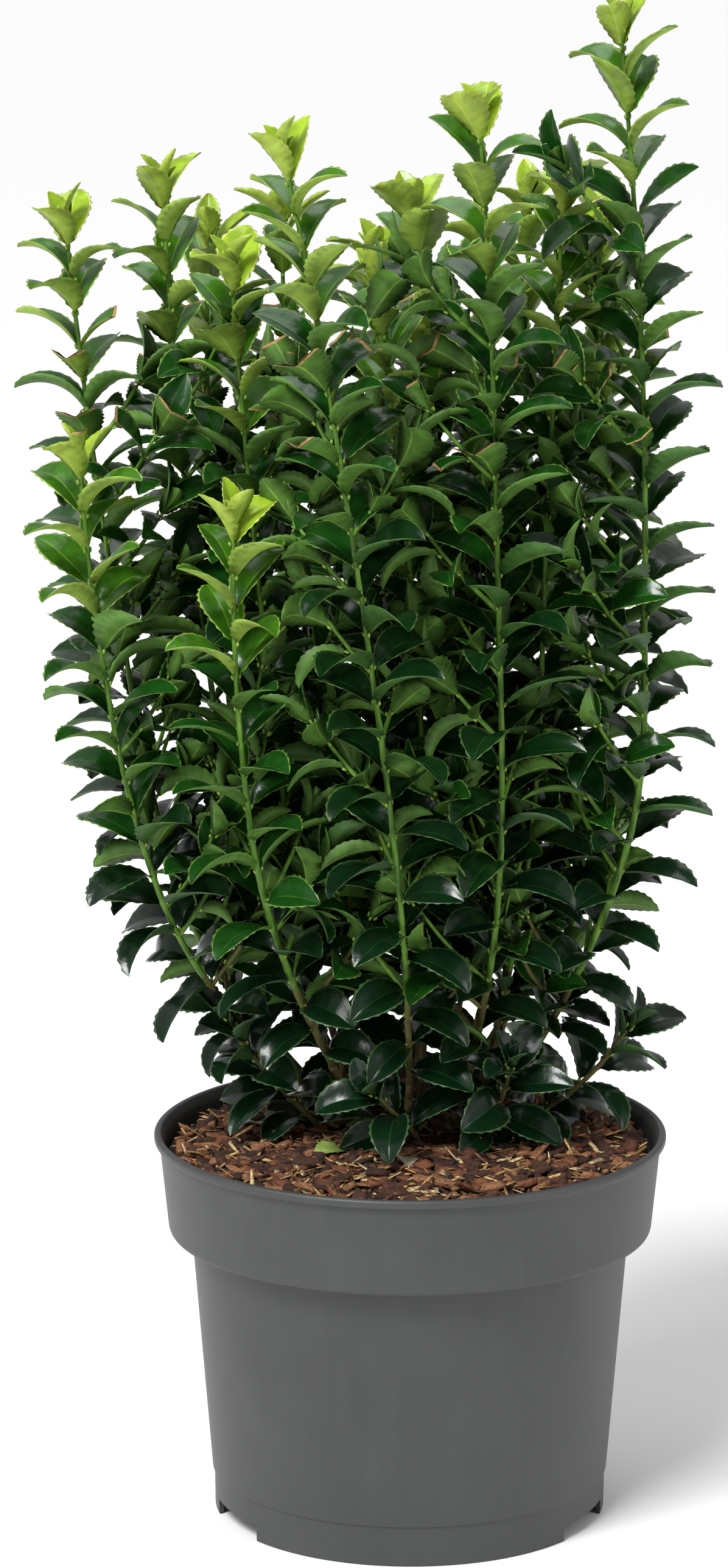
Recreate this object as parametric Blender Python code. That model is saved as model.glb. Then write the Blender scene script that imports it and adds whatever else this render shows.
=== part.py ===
# Potted small-leaved Japanese euonymus (Euonymus japonicus 'Microphyllus') in a 19 cm nursery pot.
# Origin on the pot's axis at the ground, +Z up, the front of the plant towards -Y. Metres.
import math
import random

import bmesh
import bpy
from mathutils import Matrix, Vector
from mathutils.bvhtree import BVHTree

for old in list(bpy.data.objects):
    bpy.data.objects.remove(old, do_unlink=True)

MM = 0.001
GAP = 0.3

# Pot sizes, mm.
RIM_R, RIM_H = 95.0, 145.0
COLLAR_TOP_R, COLLAR_FOOT_R, COLLAR_FOOT_Z = 93.0, 89.8, 108.0
BODY_TOP_R, RING_R, RING_Z, SKIRT_R = 81.4, 73.9, 15.4, 73.0
WALL = 1.8
FLOOR_Z, HUB_R = 6.0, 17.0
NOTCH_ANGLES = (-26.0, 90.0, 206.0)
NOTCH_W, NOTCH_H = 33.0, 6.0
POT_SIDES = 40
SOIL_Z, SOIL_EDGE_Z, SOIL_FLAT_R = 139.7, 135.5, 52.0

# Plant sizes, mm.
FOOT_Z = SOIL_Z + GAP
LEAF_STEP, LOW_STEP = 20.2, 10.0
TIP_TRIM = 9.0
LEAF_L, LEAF_W = 32.0, 0.58
LEAF_T = 0.75
STEM_STEP, STEM_SIDES, STEM_FLARE = 9.5, 6, 1.25
TWIG_SIDES, TWIG_TIP_R = 3, 0.75
SEED = 4100

# Each shoot's foot (x, y), knee, waist, tip (x, y, z), foot diameter, height where the leaves begin
SHOOTS = {
    "b": ((-22, 18), (-80, -10, 212), (-92, -18, 240), (-119, -28, 403), 4.2, 168),
    "a": ((-21, 27), (-84, 9, 228), (-98, 9, 287), (-125, 12, 482), 3.8, 176),
    "c": ((-14, 33), (-54, 27, 215), (-80, 29, 360), (-90, 30, 493), 3.8, 178),
    "e": ((-13, 13), (-53, -40, 242), (-61, -46, 300), (-63, -50, 384), 5.0, 172),
    "g": ((-1, 5), (-2, -37, 216), (-28, -57, 420), (-45, -62, 513), 3.8, 166),
    "i": ((3, 15), (6, 1, 227), (0, -2, 353), (-14, -4, 464), 3.4, 182),
    "h": ((2, 29), (6, 37, 218), (9, 47, 400), (0, 50, 483), 3.4, 184),
    "j": ((14, 9), (30, -25, 220), (30, -42, 380), (23, -48, 526), 4.0, 168),
    "k": ((16, 35), (37, 35, 240), (42, 35, 400), (43, 35, 489), 3.4, 180),
    "n": ((22, 16), (43, -6, 247), (49, -7, 372), (54, -8, 495), 3.6, 178),
    "o": ((24, 31), (65, 20, 234), (73, 21, 337), (66, 22, 474), 3.8, 180),
    "m": ((26, 23), (80, -18, 262), (84, -19, 354), (73, -20, 556), 4.6, 176),
    "s": ((-18, 40), (-56, 58, 225), (-72, 66, 340), (-75, 68, 471), 3.4, 176),
    "t": ((-8, 40), (-28, 70, 225), (-42, 80, 350), (-48, 82, 476), 3.4, 174),
    "u": ((3, 42), (-2, 80, 225), (-8, 92, 350), (-14, 90, 462), 3.4, 172),
    "v": ((12, 43), (26, 76, 225), (30, 88, 350), (26, 84, 468), 3.4, 172),
    "w": ((22, 40), (52, 56, 225), (66, 64, 350), (70, 62, 479), 3.4, 176),
}
# The fork's second stem: name, the stem it leaves, knee, waist, tip, diameter, start of leaves.
FORK = ("d", "e", (-41, 4, 231), (-50, 2, 300), (-65, 0, 467), 3.4, 186)
LOW_SHOOTS = {
    "left": ((-31, 12), (-48, 2, 160), (-58, -4, 174), (-66, -8, 188)),
    "right": ((34, 16), (58, 6, 156), (70, 4, 168), (80, 2, 182)),
    "front": ((4, -7), (0, -18, 150), (-6, -26, 158), (-12, -32, 166)),
    "middle": ((24, 4), (30, -8, 152), (34, -16, 162), (36, -24, 174)),
    "back_left": ((-14, 48), (-27, 60, 156), (-35, 67, 170), (-41, 73, 186)),
    "back_right": ((16, 51), (27, 63, 156), (36, 71, 170), (42, 77, 186)),
}


def material(name, rgb, roughness, metallic=0.0):
    made = bpy.data.materials.new(name)
    made.use_nodes = True
    shader = made.node_tree.nodes["Principled BSDF"]
    linear = [c / 12.92 if c <= 0.04045 else ((c + 0.055) / 1.055) ** 2.4 for c in rgb]
    shader.inputs["Base Color"].default_value = (*linear, 1.0)
    shader.inputs["Roughness"].default_value = roughness
    shader.inputs["Metallic"].default_value = metallic
    return made


POT_PLASTIC = material("pot_plastic", (0.42, 0.44, 0.44), 0.55)
BARK_MULCH = material("bark_mulch", (0.27, 0.20, 0.16), 0.95)
STEM_BARK = material("stem_bark", (0.47, 0.42, 0.31), 0.85)
LEAF_GREEN = material("leaf_green", (0.33, 0.43, 0.17), 0.45)


def add_object(name, bm, mat):
    mesh = bpy.data.meshes.new(name)
    bm.to_mesh(mesh)
    bm.free()
    made = bpy.data.objects.new(name, mesh)
    bpy.context.scene.collection.objects.link(made)
    if mat:
        mesh.materials.append(mat)
    return made


def baked(obj):
    """The object with its modifiers applied to its mesh."""
    graph = bpy.context.evaluated_depsgraph_get()
    mesh = bpy.data.meshes.new_from_object(obj.evaluated_get(graph))
    obj.modifiers.clear()
    obj.data = mesh
    return obj


def lathe(profile, sides):
    """A closed solid of revolution round Z from (radius, height) points in mm, axis to axis."""
    bm = bmesh.new()
    verts = [bm.verts.new((r * MM, 0, z * MM)) for r, z in profile]
    edges = [bm.edges.new(pair) for pair in zip(verts, verts[1:])]
    bmesh.ops.spin(bm, geom=verts + edges, cent=(0, 0, 0), axis=(0, 0, 1), angle=math.tau,
                   steps=sides, use_merge=True)
    bmesh.ops.remove_doubles(bm, verts=bm.verts, dist=0.01 * MM)
    bmesh.ops.recalc_face_normals(bm, faces=bm.faces)
    return bm


# Pot.
pot_profile = [
    (0, 0), (HUB_R, 0), (HUB_R, FLOOR_Z), (SKIRT_R - WALL, FLOOR_Z), (SKIRT_R - WALL, 0),
    (SKIRT_R, 0), (SKIRT_R + 0.2, RING_Z - 0.4), (RING_R, RING_Z), (BODY_TOP_R, COLLAR_FOOT_Z),
    (COLLAR_FOOT_R - 0.6, COLLAR_FOOT_Z), (COLLAR_FOOT_R, COLLAR_FOOT_Z + 1.4),
    (COLLAR_TOP_R, RIM_H - 4.0), (RIM_R - 0.5, RIM_H - 3.4), (RIM_R, RIM_H - 2.6),
    (RIM_R, RIM_H - 0.8), (RIM_R - 0.8, RIM_H), (RIM_R - 2.4, RIM_H), (RIM_R - 3.6, RIM_H - 3.6),
    (COLLAR_FOOT_R - WALL + 0.2, COLLAR_FOOT_Z + 2.0), (BODY_TOP_R - WALL, COLLAR_FOOT_Z + 1.8),
    (SKIRT_R - WALL, FLOOR_Z + 2.0), (0, FLOOR_Z + 2.0),
]
pot = add_object("pot", lathe(pot_profile, POT_SIDES), POT_PLASTIC)
bm = bmesh.new()
for degrees in NOTCH_ANGLES:
    turn = Matrix.Rotation(math.radians(degrees), 4, "Z")
    place = turn @ Matrix.Translation((SKIRT_R * MM, 0, (NOTCH_H / 2 - 1) * MM))
    size = Matrix.Diagonal((14 * MM, NOTCH_W * MM, (NOTCH_H + 2) * MM, 1))
    bmesh.ops.create_cube(bm, size=1, matrix=place @ size)
notches = add_object("notches", bm, None)
cut = pot.modifiers.new("foot notches", "BOOLEAN")
cut.operation, cut.object = "DIFFERENCE", notches
baked(pot)
bpy.data.objects.remove(notches, do_unlink=True)

# Soil.
soil_profile = [
    (0, FLOOR_Z + 2.3), (SKIRT_R - WALL - 0.5, FLOOR_Z + 2.3),
    (BODY_TOP_R - WALL - 0.5, COLLAR_FOOT_Z + 2.5),
    (COLLAR_FOOT_R - WALL - 0.3, COLLAR_FOOT_Z + 2.6),
    (COLLAR_TOP_R - WALL - 1.2, SOIL_EDGE_Z), (83, SOIL_EDGE_Z + 1.6), (70, SOIL_Z - 1.6),
    (SOIL_FLAT_R, SOIL_Z), (0, SOIL_Z),
]
bm = lathe(soil_profile, POT_SIDES)
for v in bm.verts:
    r = math.hypot(v.co.x, v.co.y) / MM
    if v.co.z > (SOIL_EDGE_Z - 0.5) * MM and r > SOIL_FLAT_R + 1 and r < 88:
        a = math.atan2(v.co.y, v.co.x)
        v.co.z += 1.1 * MM * math.sin(5 * a + r) * math.cos(3 * a + 0.31 * r)
add_object("soil", bm, BARK_MULCH)


def route(points, samples=14):
    """A smooth path through points: non-uniform Hermite, steps by the chords to the power 0.75."""
    c = [Vector(p) for p in points]
    t = [0.0]
    for a, b in zip(c, c[1:]):
        t.append(t[-1] + (b - a).length ** 0.75)
    m = [Vector()] * len(c)
    for i in range(1, len(c) - 1):
        h0, h1 = t[i] - t[i - 1], t[i + 1] - t[i]
        m[i] = ((c[i] - c[i - 1]) * (h1 / h0) + (c[i + 1] - c[i]) * (h0 / h1)) / (h0 + h1)
    m[0] = ((c[1] - c[0]) * (2 / (t[1] - t[0])) - m[1]) * 0.8
    m[-1] = (c[-1] - c[-2]) * (2 / (t[-1] - t[-2])) - m[-2]
    path = []
    for i in range(len(c) - 1):
        h = t[i + 1] - t[i]
        for k in range(samples):
            s = k / samples
            path.append(
                c[i] * (2 * s**3 - 3 * s**2 + 1) + m[i] * (h * (s**3 - 2 * s**2 + s))
                + c[i + 1] * (3 * s**2 - 2 * s**3) + m[i + 1] * (h * (s**3 - s**2)))
    return path + [c[-1]]


def even(path, step):
    """The path again as points an even distance apart."""
    lengths = [(b - a).length for a, b in zip(path, path[1:])]
    total = sum(lengths)
    count = max(2, round(total / step))
    out, i, gone = [path[0].copy()], 0, 0.0
    for k in range(1, count):
        goal = total * k / count
        while gone + lengths[i] < goal:
            gone += lengths[i]
            i += 1
        out.append(path[i].lerp(path[i + 1], (goal - gone) / lengths[i]))
    return out + [path[-1].copy()]


def trimmed(path, length):
    """The path without its last bit of this length."""
    while (path[-1] - path[-2]).length < length:
        length -= (path[-1] - path[-2]).length
        path = path[:-1]
    return path[:-1] + [path[-1] + (path[-2] - path[-1]).normalized() * length]


def nodes_on(path):
    """Leaf nodes at a quarter and three quarters of each piece of the path, and its tip."""
    out = []
    for a, b in zip(path, path[1:]):
        out += [a.lerp(b, 0.25), a.lerp(b, 0.75)]
    return out + [path[-1].copy()]


def frames(path):
    """Each point with its direction and a side vector carried along without twist."""
    side, out = Vector((1, 0, 0)), []
    for i, p in enumerate(path):
        along = (path[min(i + 1, len(path) - 1)] - path[max(i - 1, 0)]).normalized()
        side = (side - along * side.dot(along)).normalized()
        out.append((p, along, side))
    return out


def tube(path, radii, sides, flat_foot):
    """A tapering limb in mm, closed at both ends, its foot cut level if flat_foot."""
    bm, rings = bmesh.new(), []
    for k, (p, along, side) in enumerate(frames(path)):
        over, ring = along.cross(side), []
        for j in range(sides):
            a = math.tau * j / sides
            q = p + (side * math.cos(a) + over * math.sin(a)) * radii[k]
            if k == 0 and flat_foot:
                q = q + along * ((p.z - q.z) / along.z)
            ring.append(bm.verts.new(q * MM))
        rings.append(ring)
    for low, high in zip(rings, rings[1:]):
        for j in range(sides):
            bm.faces.new((low[j], low[(j + 1) % sides], high[(j + 1) % sides], high[j]))
    bm.faces.new(rings[0][::-1])
    bm.faces.new(rings[-1])
    bmesh.ops.recalc_face_normals(bm, faces=bm.faces)
    return bm


def split_at(path, z):
    """The path below and above the height z."""
    k = next(i for i, p in enumerate(path) if p.z > z)
    cut_point = path[k - 1].lerp(path[k], (z - path[k - 1].z) / (path[k].z - path[k - 1].z))
    return path[:k] + [cut_point], [cut_point] + path[k:]


def limb_radii(count, foot_d, tip_d, flare):
    """Radii from foot to tip; the lowest ring flares."""
    out = [(foot_d + (tip_d - foot_d) * i / (count - 1)) / 2 for i in range(count)]
    out[0] *= flare
    return out


def leaf_points(root, along, out, turn, pitch, roll, length, width, room=0.0, start=0.0):
    """Corner points of a leaf: root, base pair, wide pair, tip, keel and rib, in mm.

    The blade leaves the stem at pitch from its direction, folded up along the rib and arched
    down to the tip. room thickens and widens it and start drops its root, to test for clearance."""
    out = Matrix.Rotation(turn, 3, along) @ out
    ray = (along * math.cos(pitch) + out * math.sin(pitch)).normalized()
    up = (along * math.sin(pitch) - out * math.cos(pitch)).normalized()
    up = Matrix.Rotation(roll, 3, ray) @ up
    across = ray.cross(up)
    half = length * width / 2 + room
    thick = max(LEAF_T, length / 60) / 2 + room

    def at(run, side, rise):
        return root + ray * (length * run) + across * side + up * rise

    return [
        at(start, 0, 0) + out * 0.12, at(0.3, -half * 0.7, 0.07 * length), at(0.3, half * 0.7, 0.07 * length),
        at(0.7, -half, 0.1 * length), at(0.7, half, 0.1 * length),
        at(1 + room / 60, 0, -0.05 * length),
        at(0.5, 0, 0.02 * length - thick), at(0.5, 0, 0.02 * length + thick),
    ]


LEAF_FACES = (
    (0, 2, 1), (1, 2, 7), (1, 7, 3), (3, 7, 5), (5, 7, 4), (4, 7, 2),
    (0, 1, 6), (0, 6, 2), (1, 3, 6), (3, 5, 6), (5, 4, 6), (4, 2, 6),
)


class Space:
    """What stands already: its surfaces with their centres and reaches, to test new pieces against."""

    def __init__(self):
        self.held = []
        self.owners = set()

    def add(self, owner, points, faces):
        self.owners.add(owner)
        middle = sum(points, Vector()) / len(points)
        reach = max((p - middle).length for p in points)
        tree = BVHTree.FromPolygons(points, faces)
        self.held.append((owner, middle, reach, tree))

    def clear(self, points, faces, skip):
        middle = sum(points, Vector()) / len(points)
        reach = max((p - middle).length for p in points)
        tree = BVHTree.FromPolygons(points, faces)
        for owner, centre, size, other in self.held:
            if owner in skip:
                continue
            if (centre - middle).length < reach + size and tree.overlap(other):
                return False
        return True


space = Space()


def hold(owner, obj):
    """Gives the space an object's faces, in pieces of a few faces so that far ones drop out fast."""
    mesh = obj.data
    for start in range(0, len(mesh.polygons), 12):
        faces = [tuple(p.vertices) for p in mesh.polygons[start : start + 12]]
        used = sorted({i for f in faces for i in f})
        index = {v: k for k, v in enumerate(used)}
        space.add(owner, [mesh.vertices[i].co / MM for i in used],
                  [tuple(index[i] for i in f) for f in faces])


hold("pot", pot)
hold("soil", bpy.data.objects["soil"])

# Bare stems.
leafy = {}
fork_name, fork_on, *fork_rest = FORK
for name, (foot, knee, waist, tip, foot_d, leaf_z) in SHOOTS.items():
    path = route([(*foot, FOOT_Z), knee, waist, tip])
    low, high = split_at(path, leaf_z)
    low = even(low, STEM_STEP)
    radii = limb_radii(len(low), foot_d, foot_d * 0.72, STEM_FLARE)
    stem = add_object(f"stem_{name}", tube(low, radii, STEM_SIDES, True), STEM_BARK)
    leafy[name] = (high, foot_d * 0.62)
    if name == fork_on:
        start = low[1].lerp(low[2], 0.5)
        knee_d, waist_d, tip_d, branch_d, branch_z = fork_rest
        path = route([start, knee_d, waist_d, tip_d])
        low, high = split_at(path, branch_z)
        low = even(low, STEM_STEP)
        radii = limb_radii(len(low), branch_d, branch_d * 0.8, 1.0)
        branch = add_object("branch", tube(low, radii, STEM_SIDES, False), None)
        joined = stem.modifiers.new("fork", "BOOLEAN")
        joined.operation, joined.object = "UNION", branch
        baked(stem)
        bpy.data.objects.remove(branch, do_unlink=True)
        leafy[fork_name] = (high, branch_d * 0.66)
    hold(f"stem_{name}", stem)

for name, points in LOW_SHOOTS.items():
    path = route([(*points[0], FOOT_Z), *points[1:]])
    leafy[f"low_{name}"] = (path, 2.2)


# Leafy shoots.
# Each mass is a three-sided twig up its path with opposite leaves turned a quarter at each node.
TRIES = ((0, 0, 1), (0.3, 0, 1), (-0.3, 0, 1), (0, -0.3, 1), (0.55, -0.1, 0.95), (-0.55, -0.1, 0.95),
         (0.25, -0.35, 0.85), (-0.25, -0.35, 0.85), (0, -0.45, 0.7))
twigs = {}
for name, (path, base_d) in leafy.items():
    low = name.startswith("low_")
    if not low:
        start = path[0] + (path[1] - path[0]).normalized() * (GAP + 0.05)
        path = trimmed([start] + path[1:], TIP_TRIM)
    path = even(path, 2 * (LOW_STEP if low else LEAF_STEP))
    radii = [base_d / 2 + (TWIG_TIP_R - base_d / 2) * i / (len(path) - 1) for i in range(len(path))]
    twigs[name] = (add_object(f"shoot_{name}", tube(path, radii, TWIG_SIDES, low), LEAF_GREEN), nodes_on(path))
    hold(name, twigs[name][0])

placed = 0
for number, (name, (twig, path)) in enumerate(twigs.items()):
    draw = random.Random(SEED + number)
    group = bpy.data.collections.new(name)
    bpy.context.scene.collection.children.link(group)
    spin, spots = draw.uniform(0, math.pi / 2), frames(path)
    others = space.owners - {f"{name} leaf"}
    for i, (p, along, side) in enumerate(spots):
        t, last = i / (len(spots) - 1), i == len(spots) - 1
        spin += math.pi / 2
        for half in (0, math.pi):
            turn = spin + half + draw.uniform(-0.2, 0.2)
            pitch = math.radians(76 - 34 * t + draw.uniform(-7, 7))
            size = LEAF_L * (0.92 + 0.16 * math.sin(math.pi * t) + draw.uniform(-0.08, 0.08))
            roll = draw.uniform(-0.3, 0.3)
            width = LEAF_W + draw.uniform(-0.03, 0.04)
            if last:
                p, pitch, size = p - along * 0.6, math.radians(20 + draw.uniform(-4, 4)), size * 0.5
            if name.startswith("low_"):
                size *= 0.85
            for d_turn, d_pitch, share in TRIES:
                put = (p, along, side, turn + d_turn, pitch + d_pitch, roll, size * share, width)
                if space.clear(leaf_points(*put, room=0.55), LEAF_FACES, (name, f"{name} leaf")) and (
                        space.clear(leaf_points(*put, room=0.3, start=0.16), LEAF_FACES, others)):
                    bm = bmesh.new()
                    verts = [bm.verts.new(q * MM) for q in leaf_points(*put)]
                    for face in LEAF_FACES:
                        bm.faces.new([verts[k] for k in face])
                    bmesh.ops.recalc_face_normals(bm, faces=bm.faces)
                    leaf = add_object(f"leaf_{placed}", bm, None)
                    bpy.context.scene.collection.objects.unlink(leaf)
                    group.objects.link(leaf)
                    space.add(f"{name} leaf", leaf_points(*put), LEAF_FACES)
                    placed += 1
                    break
    fuse = twig.modifiers.new("leaves", "BOOLEAN")
    fuse.operation, fuse.operand_type = "UNION", "COLLECTION"
    fuse.collection, fuse.solver = group, "EXACT"
    baked(twig)
    for leaf in list(group.objects):
        bpy.data.objects.remove(leaf, do_unlink=True)
    bpy.data.collections.remove(group)
print("leaves", placed, "triangles",
      sum(len(p.vertices) - 2 for o in bpy.data.objects for p in o.data.polygons))
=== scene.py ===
# Potted small-leaved Japanese euonymus in a nursery pot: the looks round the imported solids.
# Lengths are in millimetres until a mesh is made, and Z is up from the ground.
import math
import random

import bmesh
import bpy
import numpy as np
from mathutils import Matrix, Vector, noise
from mathutils.bvhtree import BVHTree


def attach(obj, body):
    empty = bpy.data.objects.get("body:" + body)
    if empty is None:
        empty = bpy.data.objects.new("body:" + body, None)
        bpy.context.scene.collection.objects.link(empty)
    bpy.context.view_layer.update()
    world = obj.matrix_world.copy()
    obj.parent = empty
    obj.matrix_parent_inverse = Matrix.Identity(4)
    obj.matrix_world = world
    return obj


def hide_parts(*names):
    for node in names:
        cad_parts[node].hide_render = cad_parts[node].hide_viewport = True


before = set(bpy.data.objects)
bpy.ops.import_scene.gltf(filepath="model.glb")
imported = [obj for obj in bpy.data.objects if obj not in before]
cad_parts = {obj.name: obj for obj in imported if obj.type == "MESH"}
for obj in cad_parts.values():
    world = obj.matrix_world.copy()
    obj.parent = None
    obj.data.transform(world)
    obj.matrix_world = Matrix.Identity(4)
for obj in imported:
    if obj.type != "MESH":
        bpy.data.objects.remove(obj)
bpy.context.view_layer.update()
MM = 0.001

# Camera: a long lens that looks down a little on the front of the plant, as in the photograph.
CAMERA_PLACE = (-0.0171, -2.0, 0.712)
CAMERA_DOWN_DEGREES = 12.3
LENS_MM, SENSOR_MM = 128.27, 36.0
lens = bpy.data.cameras.new("camera")
camera = bpy.data.objects.new("camera", lens)
bpy.context.scene.collection.objects.link(camera)
camera.location = CAMERA_PLACE
camera.rotation_euler = (math.radians(90 - CAMERA_DOWN_DEGREES), 0, 0)
lens.sensor_fit, lens.sensor_height, lens.lens = "VERTICAL", SENSOR_MM, LENS_MM
lens.clip_start = 0.05
bpy.context.scene.camera = camera
bpy.context.scene.view_settings.view_transform = "Standard"

# Pot: a 19 cm nursery pot with a deep collar, a rolled rim and a foot ring cut by three drain
# notches. It is injection-moulded in one piece, so its corners are round and its walls thin.
RIM_R, RIM_H = 95.0, 145.0
COLLAR_TOP_R, COLLAR_FOOT_R, COLLAR_FOOT_Z = 93.0, 89.8, 108.0
BODY_TOP_R, RING_R, RING_Z, SKIRT_R = 81.4, 73.9, 15.4, 73.0
WALL, FLOOR_Z, HUB_R = 1.8, 6.0, 17.0
NOTCH_ANGLES, NOTCH_W, NOTCH_H = (-26.0, 90.0, 206.0), 33.0, 6.0
NOTCH_DEPTH, NOTCH_BELOW = 14.0, 2.0
POT_SIDES, SHARP_DEGREES = 180, 32


def linear(hex_colour):
    """An sRGB hex colour as linear red, green, blue and alpha."""
    parts = [int(hex_colour[i : i + 2], 16) / 255 for i in (1, 3, 5)]
    return tuple(c / 12.92 if c <= 0.04045 else ((c + 0.055) / 1.055) ** 2.4 for c in parts) + (1.0,)


def add_node(tree, kind, links=None, **settings):
    """A node with its settings; links maps an input to a value or to another node's output."""
    made = tree.nodes.new(kind)
    for key, value in settings.items():
        setattr(made, key, value)
    for key, value in (links or {}).items():
        if isinstance(value, bpy.types.NodeSocket):
            tree.links.new(value, made.inputs[key])
        else:
            made.inputs[key].default_value = value
    return made


def start_material(name, roughness, ior=1.46):
    """A material with its node tree, its shader, and the object's coordinates in millimetres."""
    made = bpy.data.materials.new(name)
    made.use_nodes = True
    tree = made.node_tree
    shader = tree.nodes["Principled BSDF"]
    shader.inputs["Roughness"].default_value = roughness
    shader.inputs["IOR"].default_value = ior
    place = add_node(tree, "ShaderNodeTexCoord")
    scaled = add_node(tree, "ShaderNodeMapping",
                      {"Vector": place.outputs["Object"], "Scale": (1 / MM,) * 3})
    return made, tree, shader, scaled.outputs["Vector"]


def mottle(tree, vector, size_mm, colours, low=0.35, high=0.65, detail=3.0, stretch=(1, 1, 1)):
    """A colour that drifts between hex colours over patches of size_mm."""
    moved = add_node(tree, "ShaderNodeMapping", {"Vector": vector, "Scale": stretch})
    cloud = add_node(tree, "ShaderNodeTexNoise",
                     {"Vector": moved.outputs[0], "Scale": 1 / size_mm, "Detail": detail})
    ramp = add_node(tree, "ShaderNodeValToRGB", {"Fac": cloud.outputs["Fac"]})
    band = ramp.color_ramp
    while len(band.elements) < len(colours):
        band.elements.new(0.5)
    for i, colour in enumerate(colours):
        band.elements[i].position = low + (high - low) * i / max(1, len(colours) - 1)
        band.elements[i].color = linear(colour)
    return ramp.outputs["Color"]


def bumped(tree, shader, vector, size_mm, height_mm, detail=4.0, stretch=(1, 1, 1)):
    """Relief of height_mm over grains of size_mm on the shader's normal."""
    moved = add_node(tree, "ShaderNodeMapping", {"Vector": vector, "Scale": stretch})
    cloud = add_node(tree, "ShaderNodeTexNoise",
                     {"Vector": moved.outputs[0], "Scale": 1 / size_mm, "Detail": detail})
    relief = add_node(tree, "ShaderNodeBump", {"Height": cloud.outputs["Fac"], "Strength": 1.0,
                                               "Distance": height_mm * MM})
    tree.links.new(relief.outputs["Normal"], shader.inputs["Normal"])


def mottled_material(name, roughness, grain, relief=None, ior=1.46):
    """A material coloured by mottle with the settings grain, and bumped by those of relief."""
    made, tree, shader, at = start_material(name, roughness, ior)
    tree.links.new(mottle(tree, at, *grain), shader.inputs["Base Color"])
    if relief:
        bumped(tree, shader, at, *relief)
    return made


def darkened(hex_colour, share):
    """The hex colour with each channel at this share of itself."""
    return "#" + "".join(f"{int(int(hex_colour[i : i + 2], 16) * share):02x}" for i in (1, 3, 5))


def add_piece(name, mesh, materials, slot, *nodes):
    """A finished piece that rides with the part, takes the materials and stands for nodes; slot is not
    used.
    """
    made = bpy.data.objects.new(name, mesh)
    bpy.context.scene.collection.objects.link(made)
    for one in materials:
        mesh.materials.append(one)
    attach(made, "root")
    if nodes:
        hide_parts(*nodes)
    return made


def lathe(profile, sides):
    """A closed solid of revolution from (radius, height) points in mm, axis to axis."""
    bm = bmesh.new()
    verts = [bm.verts.new((r * MM, 0, z * MM)) for r, z in profile]
    edges = [bm.edges.new(pair) for pair in zip(verts, verts[1:])]
    bmesh.ops.spin(bm, geom=verts + edges, cent=(0, 0, 0), axis=(0, 0, 1), angle=math.tau,
                   steps=sides, use_merge=True)
    bmesh.ops.remove_doubles(bm, verts=bm.verts, dist=0.005 * MM)
    bmesh.ops.recalc_face_normals(bm, faces=bm.faces)
    return bm


def rounded(points, radius=0.7, steps=4):
    """The profile with each corner between its ends rounded by a curve of about this radius."""
    out = [points[0]]
    for a, b, c in zip(points, points[1:], points[2:]):
        a, b, c = Vector(a), Vector(b), Vector(c)
        cut = min(radius, (b - a).length * 0.45, (c - b).length * 0.45)
        start, end = b + (a - b).normalized() * cut, b + (c - b).normalized() * cut
        for k in range(steps + 1):
            s = k / steps
            out.append(tuple(start * (1 - s) ** 2 + b * (2 * s * (1 - s)) + end * s**2))
    return out + [points[-1]]


pot_profile = [
    (0, 0), (HUB_R, 0), (HUB_R, FLOOR_Z), (SKIRT_R - WALL, FLOOR_Z), (SKIRT_R - WALL, 0),
    (SKIRT_R, 0), (SKIRT_R + 0.2, RING_Z - 0.4), (RING_R, RING_Z), (BODY_TOP_R, COLLAR_FOOT_Z),
    (COLLAR_FOOT_R - 0.6, COLLAR_FOOT_Z), (COLLAR_FOOT_R, COLLAR_FOOT_Z + 1.4),
    (COLLAR_TOP_R, RIM_H - 4.0), (RIM_R - 0.5, RIM_H - 3.4), (RIM_R, RIM_H - 2.6),
    (RIM_R, RIM_H - 0.8), (RIM_R - 0.8, RIM_H), (RIM_R - 2.4, RIM_H), (RIM_R - 3.6, RIM_H - 3.6),
    (COLLAR_FOOT_R - WALL + 0.2, COLLAR_FOOT_Z + 2.0), (BODY_TOP_R - WALL, COLLAR_FOOT_Z + 1.8),
    (SKIRT_R - WALL, FLOOR_Z + 2.0), (0, FLOOR_Z + 2.0),
]
bm = lathe(rounded(pot_profile), POT_SIDES)
pot_mesh = bpy.data.meshes.new("nursery_pot")
bm.to_mesh(pot_mesh)
bm.free()
bm = bmesh.new()
for degrees in NOTCH_ANGLES:
    turn = Matrix.Rotation(math.radians(degrees), 4, "Z")
    place = turn @ Matrix.Translation((SKIRT_R * MM, 0, (NOTCH_H - NOTCH_BELOW) / 2 * MM))
    size = Matrix.Diagonal((NOTCH_DEPTH * MM, NOTCH_W * MM, (NOTCH_H + NOTCH_BELOW) * MM, 1))
    bmesh.ops.create_cube(bm, size=1, matrix=place @ size)
notch_mesh = bpy.data.meshes.new("notches")
bm.to_mesh(notch_mesh)
bm.free()
notches = bpy.data.objects.new("notches", notch_mesh)
bpy.context.scene.collection.objects.link(notches)
# Polypropylene off a spark-eroded mould: dark grey and matt, with a fine grain and faint dust.
plastic, tree, shader, at = start_material("moulded_grey_polypropylene", 0.48)
grey = mottle(tree, at, 60, ("#3a3b3b", "#414242"), 0.3, 0.7, 6)
dust = mottle(tree, at, 9, ("#000000", "#ffffff"), 0.5, 0.78, 9, (1, 1, 0.35))
thin = add_node(tree, "ShaderNodeMath", {0: dust, 1: 0.2}, operation="MULTIPLY")
colour = add_node(tree, "ShaderNodeMix", {0: thin.outputs[0], 6: grey, 7: linear("#4f5050")},
                  data_type="RGBA")
tree.links.new(colour.outputs[2], shader.inputs["Base Color"])
bumped(tree, shader, at, 1.6, 0.05, 5)
pot = add_piece("nursery_pot", pot_mesh, [plastic], "pot_plastic", "pot")
cut = pot.modifiers.new("notches", "BOOLEAN")
cut.operation, cut.object = "DIFFERENCE", notches
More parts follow.
